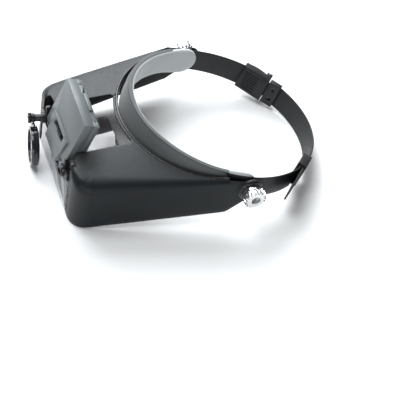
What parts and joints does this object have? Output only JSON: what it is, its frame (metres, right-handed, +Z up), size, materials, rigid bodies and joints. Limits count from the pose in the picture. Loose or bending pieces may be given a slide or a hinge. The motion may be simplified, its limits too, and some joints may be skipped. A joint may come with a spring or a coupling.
{
  "type": "head visor magnifier",
  "caption": "Head-worn visor with a clear magnifying front lens, flip-in lens, swing-out loupe and tilting battery lamp, carried on a padded adjustable headband by thumb-knob pivots",
  "frame": {"origin": "midway between the two tilt pivots, at the centre of the headband", "axes": "+X to the wearer's left along the tilt axis, -Y forward through the visor, +Z up; the visor's front edge and the band's rear edge rest on one level surface"},
  "size_m": [0.2106, 0.2797, 0.0941],
  "materials": {
    "band_plastic": "satin black moulded band",
    "pad_leatherette": "soft grey leatherette over foam",
    "buckle_plastic": "satin black moulded",
    "pin_steel": "plated steel",
    "washer_nylon": "natural nylon",
    "knob_chrome": "bright chrome plating",
    "insert_brass": "turned",
    "visor_plastic": "near-black, pebble-grained roof and satin sides",
    "lens_acrylic": "clear optical acrylic",
    "bracket_plastic": "satin black moulded",
    "hub_plastic": "silver-grey moulded",
    "lamp_plastic": "silver-grey moulded",
    "window_acrylic": "clear, faint blue",
    "reflector_foil": "metallised",
    "board_green": "solder mask",
    "led_epoxy": "clear epoxy",
    "switch_plastic": "ribbed black",
    "battery_can": "sleeved cell, unmarked",
    "contact_plate": "nickel-plated spring steel",
    "loupe_plastic": "gloss black"
  },
  "bodies": {
    "headband": {"front_band": "band_plastic", "brow_pad": "pad_leatherette", "rear_band": "band_plastic", "left_adjuster": "buckle_plastic", "right_buckle": "buckle_plastic", "strap_end_block": "buckle_plastic", "buckle_latch_pin": "pin_steel", "left_pivot_bolt": "pin_steel", "right_pivot_bolt": "pin_steel", "left_inner_washer": "washer_nylon", "right_inner_washer": "washer_nylon", "left_outer_washer": "pin_steel", "right_outer_washer": "pin_steel"},
    "buckle_latch": {"buckle_latch": "buckle_plastic"},
    "left_knob": {"left_knob": "knob_chrome", "left_knob_insert": "insert_brass"},
    "right_knob": {"right_knob": "knob_chrome", "right_knob_insert": "insert_brass"},
    "visor": {"visor_shell": "visor_plastic", "main_lens": "lens_acrylic", "left_hinge_cheek": "bracket_plastic", "right_hinge_cheek": "bracket_plastic", "cheek_screws": "pin_steel", "left_loupe_mount": "bracket_plastic", "right_loupe_mount": "bracket_plastic"},
    "lamp_carrier": {"lamp_hubs": "hub_plastic"},
    "lamp": {"lamp_top_case": "lamp_plastic", "lamp_bottom_case": "lamp_plastic", "light_window": "window_acrylic", "reflector": "reflector_foil", "led_board": "board_green", "leds": "led_epoxy", "switch_body": "bracket_plastic", "batteries": "battery_can", "battery_contacts": "contact_plate", "lamp_screws": "pin_steel"},
    "lamp_switch": {"switch_slider": "switch_plastic"},
    "battery_cover": {"battery_cover": "lamp_plastic"},
    "loupe": {"loupe_arm": "bracket_plastic", "loupe_ring": "loupe_plastic", "loupe_lens": "lens_acrylic", "loupe_retainer": "loupe_plastic", "loupe_collar": "pin_steel"},
    "loupe_knob": {"loupe_knob": "switch_plastic"},
    "flip_lens": {"flip_frame": "bracket_plastic", "flip_lens": "lens_acrylic", "flip_pins": "pin_steel"}
  },
  "joints": [
    {"name": "visor_tilt", "type": "hinge", "parent": "headband", "child": "visor", "pos_m": [0, 0, 0], "axis": [-1, 0, 0], "range_deg": [-12, 80]},
    {"name": "left_knob_turn", "type": "hinge", "parent": "headband", "child": "left_knob", "pos_m": [0.1, 0, 0], "axis": [1, 0, 0], "range_deg": [0, 360]},
    {"name": "right_knob_turn", "type": "hinge", "parent": "headband", "child": "right_knob", "pos_m": [-0.1, 0, 0], "axis": [-1, 0, 0], "range_deg": [0, 360]},
    {"name": "buckle_latch_lift", "type": "hinge", "parent": "headband", "child": "buckle_latch", "pos_m": [-0.05964, 0.07665, -0.02307], "axis": [0, -0.2882, -0.9576], "range_deg": [0, 18], "stiffness_Nm_per_rad": 0.05},
    {"name": "lamp_detach", "type": "slide", "parent": "visor", "child": "lamp_carrier", "axis": [0, -0.1132, 0.9936], "range_m": [0, 0.025]},
    {"name": "lamp_tilt", "type": "hinge", "parent": "lamp_carrier", "child": "lamp", "pos_m": [0, -0.15257, 0.00697], "axis": [-1, 0, 0], "range_deg": [-16, 66]},
    {"name": "lamp_switch_slide", "type": "slide", "parent": "lamp", "child": "lamp_switch", "axis": [-1, 0, 0], "range_m": [0, 0.008]},
    {"name": "battery_cover_slide", "type": "slide", "parent": "lamp", "child": "battery_cover", "axis": [0, 0.3551, 0.9348], "range_m": [0, 0.036]},
    {"name": "loupe_swing", "type": "hinge", "parent": "visor", "child": "loupe", "pos_m": [-0.034, -0.16226, 0.00366], "axis": [0.1375, 0.9895, -0.0447], "range_deg": [-8, 150]},
    {"name": "loupe_knob_turn", "type": "hinge", "parent": "visor", "child": "loupe_knob", "pos_m": [-0.034, -0.16226, 0.00366], "axis": [-0.1375, -0.9895, 0.0447], "range_deg": [0, 360]},
    {"name": "flip_lens_swing", "type": "hinge", "parent": "visor", "child": "flip_lens", "pos_m": [0, -0.14497, -0.00847], "axis": [-1, 0, 0], "range_deg": [0, 88]}
  ]
}
